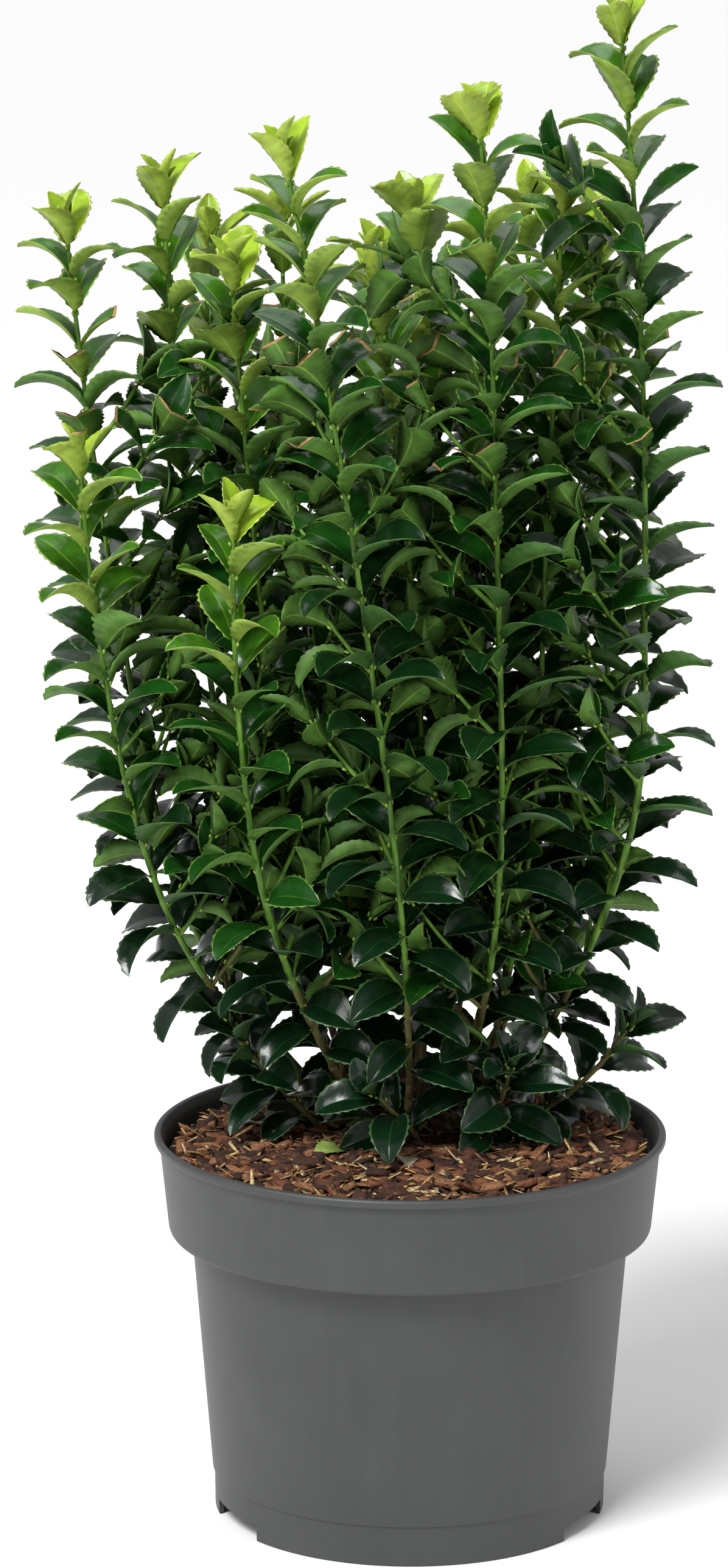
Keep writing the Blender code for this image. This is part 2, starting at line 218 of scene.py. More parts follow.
graph = bpy.context.evaluated_depsgraph_get()
cut_mesh = bpy.data.meshes.new_from_object(pot.evaluated_get(graph))
pot.modifiers.clear()
pot.data = cut_mesh
bpy.data.objects.remove(notches, do_unlink=True)
cut_mesh.shade_smooth()
cut_mesh.set_sharp_from_angle(angle=math.radians(SHARP_DEGREES))

# Potting mix: moist dark compost and bark, filled in loose and heaped a little round the stems.
# It lies against the pot's wall a centimetre below the rim.
SOIL_EDGE_Z, SOIL_TOP_Z, SOIL_FLAT_R, SOIL_R = 135.5, 139.7, 52.0, 90.2
SOIL_UNDER_Z, SOIL_UNDER_R, SOIL_RINGS, SOIL_SIDES = 125.0, 88.8, 56, 180
CLODS = ((9, 1.3, 0), (3, 0.9, 4))  # each: width, height, place in the noise


def soil_height(x, y):
    """The soil's level at a place, in mm, without its crumbs."""
    r = math.hypot(x, y)
    s = min(1.0, max(0.0, (r - SOIL_FLAT_R) / (SOIL_R - SOIL_FLAT_R)))
    return SOIL_TOP_Z + (SOIL_EDGE_Z - SOIL_TOP_Z) * s * s


soil_profile = [(0, SOIL_UNDER_Z), (SOIL_UNDER_R, SOIL_UNDER_Z)]
for k in range(SOIL_RINGS + 1):
    r = SOIL_R * (SOIL_RINGS - k) / SOIL_RINGS
    soil_profile.append((r, soil_height(r, 0)))
bm = lathe(soil_profile, SOIL_SIDES)
for v in bm.verts:
    if v.co.z > (SOIL_UNDER_Z + 5) * MM:
        x, y = v.co.x / MM, v.co.y / MM
        edge = min(1.0, (SOIL_R - math.hypot(x, y)) / 3)
        v.co.z += MM * edge * sum(high * noise.noise((x / wide, y / wide, z)) for wide, high, z in CLODS)
soil_mesh = bpy.data.meshes.new("soil")
bm.to_mesh(soil_mesh)
bm.free()
soil_mesh.shade_smooth()
# Moist compost: nearly black with brown crumbs, rough and without shine.
compost = mottled_material("moist_compost", 0.95, (2.2, ("#120c09", "#2a1c14", "#3a281c"), 0.35, 0.7, 6),
                           (1.2, 0.8, 6))
add_piece("potting_mix", soil_mesh, [compost], "bark_mulch", "soil")


# Mulch: chips and crumbs of composted pine bark, with splinters of straw-coloured wood. It is
# shredded, so every bit has its own crooked shape, and it lies loose on the potting mix.
def template(kind):
    """A small shape as an array of points and one of faces, about 1 across."""
    bm = bmesh.new()
    if kind == "chip":
        bmesh.ops.create_cube(bm, size=1)
        bmesh.ops.bevel(bm, geom=bm.edges[:] + bm.verts[:], offset=0.16, affect="EDGES", segments=1,
                        profile=0.5, material=-1)
    elif kind == "crumb":
        bmesh.ops.create_icosphere(bm, subdivisions=1, radius=0.5)
    else:
        bmesh.ops.create_cone(bm, cap_ends=True, segments=5, radius1=0.5, radius2=0.28, depth=1)
    bmesh.ops.triangulate(bm, faces=bm.faces)
    points = np.array([v.co for v in bm.verts])
    faces = np.array([[v.index for v in f.verts] for f in bm.faces])
    bm.free()
    return points, faces


def joined_mesh(name, blocks):
    """One mesh from blocks of (points in mm, faces, material numbers), all faces the same size."""
    sizes = np.cumsum([0] + [len(p) for p, _, _ in blocks])
    points = np.concatenate([p for p, _, _ in blocks]) * MM
    faces = np.concatenate([f + s for (_, f, _), s in zip(blocks, sizes)])
    marks = np.concatenate([m for _, _, m in blocks])
    mesh = bpy.data.meshes.new(name)
    mesh.vertices.add(len(points))
    mesh.vertices.foreach_set("co", points.ravel())
    corners = faces.shape[1]
    mesh.loops.add(faces.size)
    mesh.loops.foreach_set("vertex_index", faces.ravel())
    mesh.polygons.add(len(faces))
    mesh.polygons.foreach_set("loop_start", np.arange(0, faces.size, corners))
    mesh.polygons.foreach_set("material_index", marks)
    mesh.update(calc_edges=True)
    mesh.validate()
    return mesh


strew = random.Random(77)
bark_hexes = ("#3a2116", "#5c3421", "#7d4a2e", "#946543", "#4a2c1e")
wood_hexes = ("#cda66a", "#a87e48", "#e0c590")
# Bark is red-brown with darker grain, the wood pale as straw; both are dry on top and dull.
mulch_materials = []
for number, shade in enumerate(bark_hexes + wood_hexes):
    kind = "pine_bark" if number < len(bark_hexes) else "straw_wood"
    mulch_materials.append(mottled_material(
        f"{kind}_{number}", 0.85, (1.6, (darkened(shade, 0.62), shade), 0.35, 0.6, 5, (1, 1, 2.5)),
        (0.8, 0.35, 5)))
shapes = {kind: template(kind) for kind in ("chip", "crumb", "flake")}


def strewn(kind, count, size, marks, lift):
    """Blocks of one kind of bit laid at random on the soil, mostly flat.

    size gives the span of each measure and lift that of the height over the soil, in mm."""
    blocks = []
    points, faces = shapes[kind]
    if kind == "flake":
        faces = faces[:, ::-1]
    for _ in range(count):
        r, a = (SOIL_R - 3) * math.sqrt(strew.random()), strew.uniform(0, math.tau)
        x, y = r * math.cos(a), r * math.sin(a)
        s = Vector([strew.uniform(*span) for span in size])
        jag = np.array([[strew.uniform(0.72, 1.25) for _ in range(3)] for _ in range(len(points))])
        turn = Matrix.Rotation(strew.uniform(0, math.tau), 3, "Z") @ Matrix.Rotation(
            strew.gauss(0, 0.3), 3, "X") @ Matrix.Rotation(strew.gauss(0, 0.3), 3, "Y")
        spot = points * jag * np.array(s)
        if kind == "flake":
            spot = spot[:, [2, 1, 0]]
        put = spot @ np.array(turn).T + np.array([x, y, soil_height(x, y) + strew.uniform(*lift)])
        inside = np.hypot(put[:, 0], put[:, 1]).max()
        if inside < SOIL_R - 0.2:
            blocks.append((put, faces, np.full(len(faces), strew.choice(marks))))
    return blocks


bark_marks, straw_marks = [0, 1, 2, 3, 4], [5, 6, 7, 3]
for name, kind, count, size, marks, lift in (
    ("bark_chips", "chip", 1300, ((4, 12), (2.5, 7), (1, 3)), bark_marks, (0.2, 2.4)),
    ("mulch_crumbs", "crumb", 3200, ((0.8, 2.8), (0.8, 2.4), (0.6, 1.8)), bark_marks, (0.2, 1.6)),
    ("straw_flakes", "flake", 900, ((0.4, 1.1), (0.9, 2.8), (5, 13)), straw_marks, (1.2, 3.0)),
):
    mulch_mesh = joined_mesh(name, strewn(kind, count, size, marks, lift))
    add_piece(name, mulch_mesh, mulch_materials, "bark_mulch")

# Shoots: the courses of the upright shoots and of the short low ones, which all rise from one
# crown. Each is named as its solid and has its foot, knee, waist and tip, then its thickness at
# the foot and the height where its leaves begin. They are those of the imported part.
GAP, TIP_TRIM, SEED = 0.3, 9.0, 4100
FOOT_Z = SOIL_TOP_Z + GAP
STEM_STEP, TWIG_SHARE, FORK_SHARE, LOW_TWIG_D = 9.5, 0.62, 0.66, 2.2
SHOOTS = {
    "b": ((-22, 18), (-80, -10, 212), (-92, -18, 240), (-119, -28, 403), 4.2, 168),
    "a": ((-21, 27), (-84, 9, 228), (-98, 9, 287), (-125, 12, 482), 3.8, 176),
    "c": ((-14, 33), (-54, 27, 215), (-80, 29, 360), (-90, 30, 493), 3.8, 178),
    "e": ((-13, 13), (-53, -40, 242), (-61, -46, 300), (-63, -50, 384), 5.0, 172),
    "g": ((-1, 5), (-2, -37, 216), (-28, -57, 420), (-45, -62, 513), 3.8, 166),
    "i": ((3, 15), (6, 1, 227), (0, -2, 353), (-14, -4, 464), 3.4, 182),
    "h": ((2, 29), (6, 37, 218), (9, 47, 400), (0, 50, 483), 3.4, 184),
    "j": ((14, 9), (30, -25, 220), (30, -42, 380), (23, -48, 526), 4.0, 168),
    "k": ((16, 35), (37, 35, 240), (42, 35, 400), (43, 35, 489), 3.4, 180),
    "n": ((22, 16), (43, -6, 247), (49, -7, 372), (54, -8, 495), 3.6, 178),
    "o": ((24, 31), (65, 20, 234), (73, 21, 337), (66, 22, 474), 3.8, 180),
    "m": ((26, 23), (80, -18, 262), (84, -19, 354), (73, -20, 556), 4.6, 176),
    "s": ((-18, 40), (-56, 58, 225), (-72, 66, 340), (-75, 68, 471), 3.4, 176),
    "t": ((-8, 40), (-28, 70, 225), (-42, 80, 350), (-48, 82, 476), 3.4, 174),
    "u": ((3, 42), (-2, 80, 225), (-8, 92, 350), (-14, 90, 462), 3.4, 172),
    "v": ((12, 43), (26, 76, 225), (30, 88, 350), (26, 84, 468), 3.4, 172),
    "w": ((22, 40), (52, 56, 225), (66, 64, 350), (70, 62, 479), 3.4, 176),
}
# The fork's second stem: name, the stem it leaves, knee, waist, tip, diameter, start of leaves.
FORK = ("d", "e", (-41, 4, 231), (-50, 2, 300), (-65, 0, 467), 3.4, 186)
LOW_SHOOTS = {
    "left": ((-31, 12), (-48, 2, 160), (-58, -4, 174), (-66, -8, 188)),
    "right": ((34, 16), (58, 6, 156), (70, 4, 168), (80, 2, 182)),
    "front": ((4, -7), (0, -18, 150), (-6, -26, 158), (-12, -32, 166)),
    "middle": ((24, 4), (30, -8, 152), (34, -16, 162), (36, -24, 174)),
    "back_left": ((-14, 48), (-27, 60, 156), (-35, 67, 170), (-41, 73, 186)),
    "back_right": ((16, 51), (27, 63, 156), (36, 71, 170), (42, 77, 186)),
}


def route(points, samples=14):
    """A smooth path through points: non-uniform Hermite, steps by the chords to the power 0.75."""
    c = [Vector(p) for p in points]
    t = [0.0]
    for a, b in zip(c, c[1:]):
        t.append(t[-1] + (b - a).length ** 0.75)
    m = [Vector()] * len(c)
    for i in range(1, len(c) - 1):
        h0, h1 = t[i] - t[i - 1], t[i + 1] - t[i]
        m[i] = ((c[i] - c[i - 1]) * (h1 / h0) + (c[i + 1] - c[i]) * (h0 / h1)) / (h0 + h1)
    m[0] = ((c[1] - c[0]) * (2 / (t[1] - t[0])) - m[1]) * 0.8
    m[-1] = (c[-1] - c[-2]) * (2 / (t[-1] - t[-2])) - m[-2]
    path = []
    for i in range(len(c) - 1):
        h = t[i + 1] - t[i]
        for k in range(samples):
            s = k / samples
            path.append(
                c[i] * (2 * s**3 - 3 * s**2 + 1) + m[i] * (h * (s**3 - 2 * s**2 + s))
                + c[i + 1] * (3 * s**2 - 2 * s**3) + m[i + 1] * (h * (s**3 - s**2)))
    return path + [c[-1]]


def even(path, step):
    """The path again as points an even distance apart."""
    lengths = [(b - a).length for a, b in zip(path, path[1:])]
    total = sum(lengths)
    count = max(2, round(total / step))
    out, i, gone = [path[0].copy()], 0, 0.0
    for k in range(1, count):
        goal = total * k / count
        while gone + lengths[i] < goal:
            gone += lengths[i]
            i += 1
        out.append(path[i].lerp(path[i + 1], (goal - gone) / lengths[i]))
    return out + [path[-1].copy()]


def split_at(path, z):
    """The path below and above the height z."""
    k = next(i for i, p in enumerate(path) if p.z > z)
    cut_point = path[k - 1].lerp(path[k], (z - path[k - 1].z) / (path[k].z - path[k - 1].z))
    return path[:k] + [cut_point], [cut_point] + path[k:]


def frames(path):
    """Each point with its direction and a side vector carried along without twist."""
    side, out = Vector((1, 0, 0)), []
    for i, p in enumerate(path):
        along = (path[min(i + 1, len(path) - 1)] - path[max(i - 1, 0)]).normalized()
        side = (side - along * side.dot(along)).normalized()
        out.append((p, along, side))
    return out


def limb(path, radius_at, sides, relief, flat_foot=False):
    """Points and faces of a tapering limb with ridges of relief mm, closed at both ends."""
    points, faces = [], []
    for k, (p, along, side) in enumerate(frames(path)):
        over = along.cross(side)
        for j in range(sides):
            a = math.tau * j / sides
            at_skin = (3.1 * math.cos(a) + p.x / 7, 3.1 * math.sin(a) + p.y / 7, p.z / 9)
            rough = relief * noise.noise(at_skin)
            q = p + (side * math.cos(a) + over * math.sin(a)) * (radius_at(k / (len(path) - 1)) + rough)
            if k == 0 and flat_foot:
                q = q + along * ((p.z - q.z) / along.z)
            points.append(q)
    for k in range(len(path) - 1):
        for j in range(sides):
            n = (j + 1) % sides
            faces.append((k * sides + j, k * sides + n, (k + 1) * sides + n, (k + 1) * sides + j))
    points += [path[0] * 1.0, path[-1] + (path[-1] - path[-2]).normalized() * 0.3]
    base, top, last = len(points) - 2, len(points) - 1, (len(path) - 1) * sides
    for j in range(0, sides, 2):
        n, m = (j + 1) % sides, (j + 2) % sides
        faces.append((base, m, n, j))
        faces.append((top, last + j, last + n, last + m))
    return np.array(points), np.array(faces)


stem_paths, shoot_paths = {}, {}
fork_name, fork_on, *fork_points, fork_d, fork_leaf_z = FORK
for name, (foot, knee, waist, tip, foot_d, leaf_z) in SHOOTS.items():
    low, high = split_at(route([(*foot, FOOT_Z), knee, waist, tip]), leaf_z)
    stem_paths[name], shoot_paths[name] = (low, foot_d), (high, foot_d * TWIG_SHARE)
    if name == fork_on:
        low = even(low, STEM_STEP)
        low, high = split_at(route([low[1].lerp(low[2], 0.5), *fork_points]), fork_leaf_z)
        stem_paths[fork_name], shoot_paths[fork_name] = (low, fork_d), (high, fork_d * FORK_SHARE)
for name, points in LOW_SHOOTS.items():
    shoot_paths[f"low_{name}"] = (route([(*points[0], FOOT_Z), *points[1:]]), LOW_TWIG_D)

# Bare stems: the lowest few centimetres of each shoot, three-year wood in thin fissured bark.
# They flare at the foot, where they stand in the mix, and stem e forks just above it.
STEM_FLARE, FLARE_SHARE, STEM_TAPER, FORK_TAPER = 1.25, 6, 0.28, 0.2
BARK_STEP, STEM_SIDES, BARK_RELIEF = 1.5, 12, 0.32
# Young bark: tan on its ridges and dark in the cracks, with a little green, dull and furrowed.
bark = mottled_material("young_fissured_bark", 0.88,
                        (2.6, ("#2c2416", "#5d4c30", "#8c7a52", "#6f7d3a"), 0.3, 0.72, 6, (1, 1, 0.3)),
                        (1.1, 0.7, 5, (1, 1, 0.25)))
blocks = []
for name, (path, foot_d) in stem_paths.items():
    forked = name == fork_name
    flare, narrowing = (1.0, FORK_TAPER) if forked else (STEM_FLARE, STEM_TAPER)

    def stem_radius(t):
        return foot_d / 2 * (1 - narrowing * t) * (1 + (flare - 1) * max(0, 1 - t * FLARE_SHARE))

    points, faces = limb(even(path, BARK_STEP), stem_radius, STEM_SIDES, BARK_RELIEF, not forked)
    blocks.append((points, faces, np.zeros(len(faces), int)))
bark_mesh = joined_mesh("bare_stems", blocks)
bark_mesh.shade_smooth()
add_piece("bare_stems", bark_mesh, [bark], "stem_bark",
          *sorted(f"stem_{n}" for n in stem_paths if n != fork_name))

# Twigs: the green wood of the last two years, with fine ridges and a little swollen at each pair
# of leaves. Short side twigs grow from them into the crown and fill it.
LEAF_STEP, LOW_STEP = 12.2, 8.5
TWIG_SIDES, TWIG_TIP_R, TIP_REACH, NODE_SWELLING = 8, 0.75, 3, 0.16
BROWN_BELOW_Z = 205


def nodes_on(path):
    """Leaf nodes at a quarter and three quarters of each piece of the path, and its tip."""
    out = []
    for a, b in zip(path, path[1:]):
        out += [a.lerp(b, 0.25), a.lerp(b, 0.75)]
    return out + [path[-1].copy()]


def trimmed(path, length):
    """The path without its last bit of this length."""
    while (path[-1] - path[-2]).length < length:
        length -= (path[-1] - path[-2]).length
        path = path[:-1]
    return path[:-1] + [path[-1] + (path[-2] - path[-1]).normalized() * length]


# Green bark is smooth and slightly waxy; low on the shoot it turns brown, corky and dull.
twig_green = mottled_material("green_bark", 0.5,
                              (3, ("#3f6420", "#5c882a", "#74a036"), 0.3, 0.7, 4, (1, 1, 0.3)),
                              (0.9, 0.25, 3, (1, 1, 0.2)))
twig_brown = mottled_material("browning_bark", 0.75,
                              (2.6, ("#4c4826", "#6c6438", "#5f742c"), 0.3, 0.7, 5, (1, 1, 0.3)),
                              (0.9, 0.4, 4, (1, 1, 0.25)))
twig_nodes, blocks = {}, []
for name, (path, base_d) in shoot_paths.items():
    low = name.startswith("low_")
    step = LOW_STEP if low else LEAF_STEP
    if not low:
        path = trimmed(path, TIP_TRIM - TIP_REACH)
    nodes = nodes_on(even(path, 2 * step))
    twig_nodes[name] = nodes

    def twig_radius(t):
        swelling = max(0, math.cos(math.tau * t * (len(nodes) - 1))) ** 6
        return (base_d / 2 + (TWIG_TIP_R - base_d / 2) * t) * (1 + NODE_SWELLING * swelling)

    points, faces = limb(even(path, step / 6), twig_radius, TWIG_SIDES, 0.16, low)
    middles = points[faces].mean(axis=1)[:, 2]
    blocks.append((points, faces, (middles < BROWN_BELOW_Z).astype(int)))
# Side twigs: at each of the lowest nodes, and at every second one above them up to near the tip.
CROWN_MIDDLE = Vector((-8, 24, 0))
SIDE_LENGTHS, SIDE_TURN, SIDE_STEP, BUSHY_NODES, BARE_NODES = (26, 42), 1.2, 10, 7, 6
side_draw = random.Random(61)
for name in [n for n in twig_nodes if not n.startswith("low_")]:
    spots = frames(twig_nodes[name])
    for i in (k for k in range(1, len(spots) - BARE_NODES) if k < BUSHY_NODES or k % 2):
        p, along, _ = spots[i]
        inward = CROWN_MIDDLE - p
        inward.z = 0
        inward = Matrix.Rotation(side_draw.uniform(-SIDE_TURN, SIDE_TURN), 3, "Z") @ inward.normalized()
        length = side_draw.uniform(*SIDE_LENGTHS)
        ray = (along * 0.7 + inward * 0.75).normalized()
        path = even([p, p + ray * length * 0.5, p + ray * length + along * length * 0.12], SIDE_STEP)
        twig_nodes[f"{name}_side_{i}"] = path[1:]
        points, faces = limb(even(path, 5), lambda t: 0.95 - 0.3 * t, TWIG_SIDES, 0.1)
        blocks.append((points, faces, np.full(len(faces), int(p.z < BROWN_BELOW_Z))))
twig_mesh = joined_mesh("twigs", blocks)
twig_mesh.shade_smooth()
add_piece("green_twigs", twig_mesh, [twig_green, twig_brown], "leaf_green")

# Leaves: small, leathery and toothed, folded up along the rib and arched down to the tip. They
# grow in opposite pairs, turned a quarter at each node, and stand clear of each other where they
# can. The youngest are small and upright.
LEAF_L, LEAF_W, LEAF_T = 32.0, 0.47, 0.34
ROWS = 20
TOP_COLUMNS = (-1, -0.93, -0.5, -0.045, 0.045, 0.5, 0.93, 1)
UNDER_COLUMNS = (-1, -0.06, 0.06, 1)


def leaf_template():
    """A flat leaf as (across, along, side) points, with its quads and the part that each is of.

    The parts are 0 upper, 1 rib, 2 rim, 3 under and 4 rib under."""
    bm = bmesh.new()
    for columns, side in ((TOP_COLUMNS, 0.0), (UNDER_COLUMNS, -1.0)):
        made = bmesh.ops.create_grid(bm, x_segments=len(columns) - 1, y_segments=ROWS, size=1)["verts"]
        for v in made:
            column = round((v.co.x + 1) / 2 * (len(columns) - 1))
            v.co = (columns[column], (v.co.y + 1) / 2, side if 0 < column < len(columns) - 1 else 0.0)
    bmesh.ops.remove_doubles(bm, verts=bm.verts, dist=1e-4)
    bm.verts.index_update()
    points = np.array([v.co for v in bm.verts])
    faces, parts = [], []
    for f in bm.faces:
        order = [v.index for v in f.verts]
        middle = points[order].mean(axis=0)
        under = middle[2] < -0.1
        if (f.normal.z < 0) != under:
            order.reverse()
        faces.append(order)
        reach = abs(middle[0])
        rib = reach < 0.03
        parts.append((4 if rib else 3) if under else (1 if rib else 2 if reach > 0.95 else 0))
    bm.free()
    return points, np.array(faces), np.array(parts)


leaf_points, leaf_faces, leaf_parts = leaf_template()
end_faces = leaf_points[leaf_faces].mean(axis=1)[:, 1] > 1 - 1 / ROWS
# A hedge trimmer has cut some leaves across between these heights, and left a tan edge.
TRIM_LOW, TRIM_HIGH, TRIM_CHANCE = 392, 436, 0.3
TOOTH, RIPPLE, BEND_STEPS = 0.1, 0.006, 60


def shaped_leaf(root, ray, across, up, length, width, fold, arch, twist, phase, trim=1.0):
    """The template bent into one leaf at its place, in mm.

    fold lifts its halves from the rib, arch bends it down to the tip, twist turns it about the
    rib, phase moves its ripples and trim is the share that is left of a cut leaf."""
    v, u, side = leaf_points.T
    u = u * trim
    outline = np.maximum(0.05, np.sin(math.pi * np.clip(u, 0, 1) ** 1.2) ** 0.85)
    outline = np.where(u < 0.1, 0.05 + 0.06 * u / 0.1, outline)
    row = np.rint(leaf_points[:, 1] * ROWS)
    tooth = np.where((row % 2 == 1) & (np.abs(v) > 0.99) & (u > 0.14) & (u < 0.98), TOOTH, 0.0)
    y = v * (outline + tooth) * length * width / 2
    wave = np.cos(math.tau * (6 * u - 1.6 * np.abs(v)) + phase)
    ripple = RIPPLE * length * wave * np.abs(v) * (1.05 - np.abs(v)) * 3 * outline
    lift = np.abs(y) * math.tan(fold) - y * y * (0.35 * math.tan(fold) / (length * width / 2))
    lift = lift + np.where(side == 0, ripple, -LEAF_T * np.minimum(1, outline * 2))
    steps = np.linspace(0, 1, BEND_STEPS)
    bend = arch * (0.25 - steps) * 1.6
    run = np.concatenate([[0], np.cumsum(np.cos(bend[:-1]))]) / (BEND_STEPS - 1) * length
    rise = np.concatenate([[0], np.cumsum(np.sin(bend[:-1]))]) / (BEND_STEPS - 1) * length
    x, z = np.interp(u, steps, run), np.interp(u, steps, rise)
    lean = np.interp(u, steps, bend)
    x, z = x - lift * np.sin(lean), z + lift * np.cos(lean)
    spin = twist * u
    y, z = y * np.cos(spin) - (z - np.interp(u, steps, rise)) * np.sin(spin), z + y * np.sin(spin)
    return (np.array(root)[None] + x[:, None] * np.array(ray)[None] + y[:, None] * np.array(across)[None]
            + z[:, None] * np.array(up)[None])


class Space:
    """What stands already, to keep each new leaf clear of it."""

    def __init__(self):
        self.held = []

    def add(self, owner, points, faces):
        """Keeps faces that belong to an owner, with their centre and reach."""
        middle = sum(points, Vector()) / len(points)
        self.held.append((owner, middle, max((p - middle).length for p in points),
                          BVHTree.FromPolygons(points, faces)))

    def clear(self, points, faces, skip):
        """Whether the faces meet nothing held, apart from what the owners in skip have."""
        middle = sum(points, Vector()) / len(points)
        reach, tree = max((p - middle).length for p in points), BVHTree.FromPolygons(points, faces)
        return not any(owner not in skip and (centre - middle).length < reach + size and tree.overlap(other)
                       for owner, centre, size, other in self.held)


PROXY_POINTS = ((0.33, -0.75, 0.04), (0.33, 0.75, 0.04), (0.72, -0.95, 0.03), (0.72, 0.95, 0.03),
                (0.98, 0, -0.12))  # each: share of the length, of the half width, and of the length up
PROXY_FACES = ((0, 2, 1), (1, 2, 4, 3), (3, 4, 5))
NEAR_ROOT, PAST_ROOT = 0.05, 0.2


def proxy(root, ray, across, up, length, width, start):
    """A few flat faces that stand for a leaf while places are tested."""
    half = length * width / 2
    return [root + ray * (length * run) + across * (half * side) + up * (length * rise)
            for run, side, rise in ((start, 0, 0), *PROXY_POINTS)]


def stands_clear(name, put):
    """Whether a leaf misses everything, and past its root the other leaves of its own twig too."""
    own = f"{name} leaf"
    others = {owner for owner, *_ in space.held if owner != own}
    return (space.clear(proxy(*put, NEAR_ROOT), PROXY_FACES, (name, own))
            and space.clear(proxy(*put, PAST_ROOT), PROXY_FACES, others))


# The twigs and the pot's collar are held as strips.
space = Space()
for name, nodes in twig_nodes.items():
    rods = nodes if "_side_" in name else even(shoot_paths[name][0], 20)
    for a, b in zip(rods, rods[1:]):
        across = (b - a).cross(Vector((0.3, 1, 0.2))).normalized() * 1.3
        space.add(name, [a - across, a + across, b + across, b - across], [(0, 1, 2, 3)])
COLLAR_SIDES, COLLAR_LOW_Z = 24, 112
angles = [math.tau * k / COLLAR_SIDES for k in range(COLLAR_SIDES)]
low_ring, high_ring = ([Vector((RIM_R * math.cos(a), RIM_R * math.sin(a), z)) for a in angles]
                       for z in (COLLAR_LOW_Z, RIM_H))
for k in range(COLLAR_SIDES):
    n = (k + 1) % COLLAR_SIDES
    space.add("pot", [low_ring[k], low_ring[n], high_ring[n], high_ring[k]], [(0, 1, 2, 3)])

# A leathery leaf has a waxy skin: deep green and glossy above, pale and dull below, with a thin
# pale rim. It starts lime and darkens with age, so the colours go by its place on the shoot.
PARTS = ("upper", "rib", "rim", "under", "under_rib")
AGES = {
    "old": ("#092310", "#16381c", "#3f5c34", "#35562b", "#4d7038"),
    "mature": ("#0c2c10", "#1c441a", "#4c6a34", "#3d6526", "#648a3c"),
    "grown": ("#154410", "#2c5c1c", "#6a8a3e", "#56802e", "#82a648"),
    "young": ("#3c7014", "#6a9430", "#9cb854", "#92b044", "#a8c45a"),
    "tip": ("#9aba2c", "#acc844", "#c4d46c", "#b0c84c", "#c0d464"),
}
leaf_materials = []
for age, hexes in AGES.items():
    for part, shade in zip(PARTS, hexes):
        roughness, relief_mm = (0.55, 0.04) if part.startswith("under") else (0.2, 0.06)
        leaf_materials.append(mottled_material(
            f"leaf_{age}_{part}", roughness, (7, (darkened(shade, 0.8), shade), 0.35, 0.6, 4),
            (1.3, relief_mm, 3), ior=1.45))
# Where a leaf was cut, its flesh has dried to a tan line.
CUT_MARK = len(leaf_materials)
leaf_materials.append(mottled_material("dried_cut_edge", 0.8, (1.5, ("#9a7647", "#c39d68"), 0.35, 0.65, 3)))


def age_of(distance, z, luck):
    """The number of the leaf's age from its distance to the shoot's tip and its height, in mm."""
    for number, mark in ((4, 17), (3, 62), (2, 125 + 45 * luck)):
        if distance < mark:
            return number
    return 1 if z > 230 + 60 * luck else 0


# Each leaf tries these changes of turn, pitch and size until it stands clear.
TRIES = ((0, 0, 1), (0.3, 0, 1), (-0.3, 0, 1), (0, -0.3, 1), (0.55, -0.1, 0.95), (-0.55, -0.1, 0.95),
         (0.25, -0.35, 0.85), (-0.25, -0.35, 0.85), (0, -0.45, 0.7))
